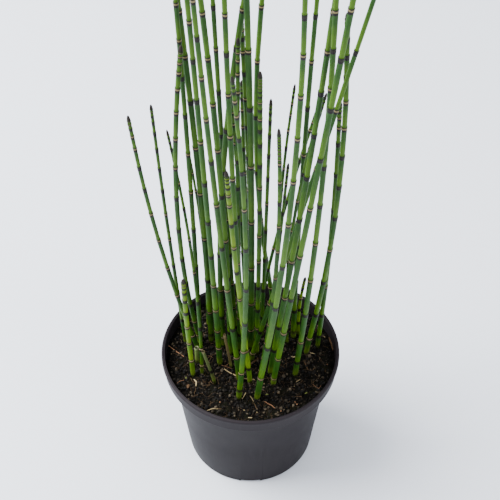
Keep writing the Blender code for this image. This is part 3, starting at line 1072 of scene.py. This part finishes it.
# Where the photograph shows larger bits, in its pixels: kind, width in millimetres and route
fallenStrands = {
    "rootStrand": ("root", 1.0, [(168, 345), (175, 350), (184, 357)]),
    "longStraw": ("straw", 1.3, [(222, 368), (229, 373), (237, 377), (246, 378.5), (255, 379)]),
    "leftStraw": ("straw", 1.1, [(207, 410), (213, 408.5), (218, 409)]),
    "backStraw": ("straw", 1.0, [(296, 382), (300, 379.5)]),
    "thinBladeRight": ("straw", 0.8, [(250, 396), (252, 399), (254, 402)]),
    "thinBladeLeft": ("straw", 0.8, [(242, 399), (246, 393)]),
    "frontStrand": ("root", 0.9, [(264, 401), (270, 404), (275, 408)]),
    "creamCurl": ("straw", 1.6, [(194, 379), (196.5, 382), (196, 386)]),
    "reddishRoot": ("root", 0.7, [(177, 384), (181, 381.5), (184, 380)]),
    "palePin": ("straw", 1.0, [(291, 357), (296, 357)]),
    "brownStrip": ("bark", 1.7, [(329, 337), (331.5, 343), (333, 350)]),
    "tanCorner": ("straw", 1.1, [(320, 331), (321, 336), (325, 338)]),
    "paleSliver": ("straw", 1.0, [(309, 352), (316, 354)]),
    "greySliver": ("bark", 1.3, [(304, 360), (306, 365), (308, 370)]),
    "barkStrip": ("bark", 1.8, [(251, 364), (258, 358)]),
    "frontStraw": ("straw", 1.0, [(248, 418), (252, 418)]),
    "redFibreLeft": ("root", 0.6, [(218, 364), (224, 366), (231, 364)]),
    "redFibreLeftLow": ("root", 0.5, [(220, 371), (225, 367), (232, 369)]),
    "redFibreRight": ("root", 0.6, [(313, 384), (318, 388), (321, 394)]),
    "redFibreRightLow": ("root", 0.5, [(315, 395), (318, 390), (322, 384)]),
}

# Flat chips: kind, length and width in millimetres, then their pixels
fallenChips = {
    "paleBits": ("straw", 1.7, 1.2, [(244, 410), (257, 409), (257, 413), (246, 376), (254, 378)]),
    "whiteDots": ("straw", 1.3, 1.2, [
        (294, 386), (305, 389), (206, 329), (206, 356), (197, 348), (264, 384), (321, 349.5)]),
    "leafBits": ("leaf", 3.8, 1.9, [(267, 395), (186, 378), (306, 393), (266, 405)]),
    "salmonBits": ("root", 2.2, 1.5, [(281, 411), (295, 402), (297, 404.5), (220, 403)]),
    "peachDots": ("root", 1.4, 1.2, [(189, 375), (322, 371), (327, 365)]),
    "barkChunks": ("bark", 6.0, 3.6, [(188, 387), (308, 352)]),
}


def driedPaint(name, colours):
    # a dry fibre's skin: from its dark to its pale colour by its tone, with fine grain
    material, tree, shader = newMaterial(name, 0.85, 0.15)
    tone = addNode(tree, "ShaderNodeAttribute", attribute_name="tone").outputs["Fac"]
    grain = noiseNode(tree, 1400, 3, 0.6, objectCoords(tree))
    tone = mathNode(tree, "SUBTRACT", tone, 0.25)
    share = mathNode(tree, "MULTIPLY_ADD", grain, 0.5, tone, clamp=True)
    tree.links.new(mixNode(tree, share, *colours), shader.inputs["Base Color"])
    tree.links.new(mathNode(tree, "MULTIPLY_ADD", grain, 0.25, 0.65), shader.inputs["Roughness"])
    tree.links.new(bumpNode(tree, grain, 0.5, 0.2 * mm), shader.inputs["Normal"])
    return material


def restHeight(x, y):
    # the peat's highest point close by, which a larger bit rests on
    reach = looseBits["restReach"]
    around = ((0, 0), (reach, 0), (-reach, 0), (0, reach), (0, -reach))
    return max(peatHeight(x + dx, y + dy) for dx, dy in around)


def randomSpot():
    # a place on the peat, a little away from the pot's wall
    reach = soilBox[1].x - looseBits["clear"]
    distance = reach * math.sqrt(random.random())
    turn = random.uniform(0, math.tau)
    return distance * math.cos(turn), distance * math.sin(turn)


def makeCrumbUnit():
    deselectAll()
    bpy.ops.mesh.primitive_ico_sphere_add(subdivisions=1, radius=1)
    crumb = bpy.context.object
    editMode(crumb)
    bpy.ops.mesh.select_all(action="SELECT")
    bpy.ops.transform.vertex_random(offset=0.35, seed=3)
    bpy.ops.transform.resize(value=(1, 0.8, 0.7))
    objectMode()
    return crumb


def makeFibreUnit():
    # a thin three-sided strand, 1 long, that curves and tapers as it goes
    deselectAll()
    bpy.ops.mesh.primitive_circle_add(
        vertices=3, radius=0.03, fill_type="NGON", rotation=(0, math.pi / 2, 0)
    )
    fibre = bpy.context.object
    bpy.ops.object.transform_apply(rotation=True)
    editMode(fibre)
    bpy.ops.mesh.select_all(action="SELECT")
    x = 0
    y = 0
    for step in (0.0, 0.05, 0.09, 0.06, -0.02):
        bpy.ops.mesh.extrude_region_move(TRANSFORM_OT_translate={"value": (0.2, step, 0)})
        x += 0.2
        y += step
        bpy.ops.transform.resize(value=(0.85, 0.85, 0.85), center_override=(x, y, 0))
    objectMode()
    return fibre


def scatterCopies(unit, placings, name, material, lift=None):
    # one mesh of many copies: each placing is (matrix, tone), and lift drapes them over the peat
    source = vertArray(unit)
    corners = [tuple(face.vertices) for face in unit.data.polygons]
    places, faces, tones = [], [], []
    for count, (matrix, tone) in enumerate(placings):
        turned = source @ np.array(matrix.to_3x3()).T + np.array(matrix.translation)
        if lift is not None:
            turned[:, 2] += [peatHeight(x, y) + lift for x, y in turned[:, :2]]
        places.append(turned)
        faces += [tuple(corner + count * len(source) for corner in face) for face in corners]
        tones += [tone] * len(source)
    mesh = bpy.data.meshes.new(name)
    mesh.from_pydata(np.concatenate(places).tolist(), [], faces)
    mesh.attributes.new("tone", "FLOAT", "POINT").data.foreach_set("value", tones)
    piece = bpy.data.objects.new(name, mesh)
    bpy.context.scene.collection.objects.link(piece)
    bpy.data.objects.remove(unit)
    dressBit(piece, material)


def dressBit(piece, material):
    editMode(piece)
    bpy.ops.mesh.select_all(action="SELECT")
    bpy.ops.mesh.normals_make_consistent(inside=False)
    objectMode()
    piece.data.materials.clear()
    piece.data.materials.append(material)
    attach(piece, "root")


def scatterLooseBits():
    bits = looseBits
    small, large = bits["crumbSize"]
    placings = []
    for _ in range(bits["crumbs"]):
        x, y = randomSpot()
        size = random.uniform(0, 1) ** bits["crumbSizePower"] * (large - small) + small
        turn = Euler([random.uniform(0, math.tau) for _ in range(3)])
        place = Vector((x, y, peatHeight(x, y) + bits["crumbRise"] * size))
        tone = random.random() ** bits["crumbTonePower"]
        placings.append((Matrix.LocRotScale(place, turn, Vector((size, size, size))), tone))
    paint = driedPaint("crumbEarth", bits["crumbColours"])
    scatterCopies(makeCrumbUnit(), placings, "peatCrumbs", paint)

    placings = []
    for _ in range(bits["fibres"]):
        x, y = randomSpot()
        place = Vector((x * bits["fibreReach"], y * bits["fibreReach"], 0))
        size = random.uniform(*bits["fibreSize"])
        turn = Euler((random.uniform(0, math.tau), 0, random.uniform(0, math.tau)))
        tone = random.random() ** bits["fibreTonePower"]
        placings.append((Matrix.LocRotScale(place, turn, Vector((size, size, size))), tone))
    paint = driedPaint("fibreSkin", bits["fibreColours"])
    scatterCopies(makeFibreUnit(), placings, "peatFibres", paint, lift=bits["fibreLift"])
    print("peat strewn with crumbs and fibres")


def dropStrand(name, width, route):
    # a thin tapered strand laid over the peat along its route
    spots = [pixelToPlane(px, py, soilLevel) for px, py in route]
    curve = bpy.data.curves.new(name, "CURVE")
    curve.dimensions = "3D"
    curve.bevel_depth = width * mm / 2
    curve.bevel_resolution = 1
    curve.use_fill_caps = True
    line = curve.splines.new("POLY")
    steps = 4 * (len(spots) - 1)
    line.points.add(steps)
    for i, point in enumerate(line.points):
        share = i / steps * (len(spots) - 1)
        first = min(int(share), len(spots) - 2)
        spot = spots[first].lerp(spots[first + 1], share - first)
        height = restHeight(spot.x, spot.y) + width * mm * looseBits["strandRise"]
        point.co = (spot.x, spot.y, height, 1)
        point.radius = 0.45 + 0.55 * math.sin(math.pi * (i + 1) / (steps + 2))
    strand = bpy.data.objects.new(name, curve)
    bpy.context.scene.collection.objects.link(strand)
    makeActive(strand)
    bpy.ops.object.convert(target="MESH")
    return bpy.context.object


def dropChip(length, width, px, py):
    # a flat uneven flake with rounded corners
    tilt = looseBits["chipTilt"]
    spot = pixelToPlane(px, py, soilLevel)
    height = restHeight(spot.x, spot.y) + width * mm * looseBits["chipRise"]
    chip = makeCrumbUnit()
    chip.scale = (length * mm / 2, width * mm / 2, width * mm / 4)
    leans = [random.uniform(-tilt, tilt) for _ in range(2)]
    chip.rotation_euler = (*leans, random.uniform(0, math.tau))
    chip.location = (spot.x, spot.y, height)
    makeActive(chip)
    bpy.ops.object.transform_apply(location=True, rotation=True, scale=True)
    return chip


def dropFallenBits():
    dropped = {kind: [] for kind in looseBits["strandColours"]}
    for name, (kind, width, route) in fallenStrands.items():
        dropped[kind].append(dropStrand(name, width, route))
    for kind, length, width, spots in fallenChips.values():
        for px, py in spots:
            dropped[kind].append(dropChip(length, width, px, py))
    for kind, pieces in dropped.items():
        for piece in pieces:
            values = [random.uniform(*looseBits["fallenTones"])] * len(piece.data.vertices)
            piece.data.attributes.new("tone", "FLOAT", "POINT").data.foreach_set("value", values)
        joined = joinPieces(pieces, kind + "Bits")
        dressBit(joined, driedPaint(kind + "Skin", looseBits["strandColours"][kind]))
    print("fallen bits dropped:", sum(len(pieces) for pieces in dropped.values()))


random.seed(7)
addCamera()
addStudio()
makePot()
makePeat()
growAllStems(soilLevel)
scatterLooseBits()
dropFallenBits()
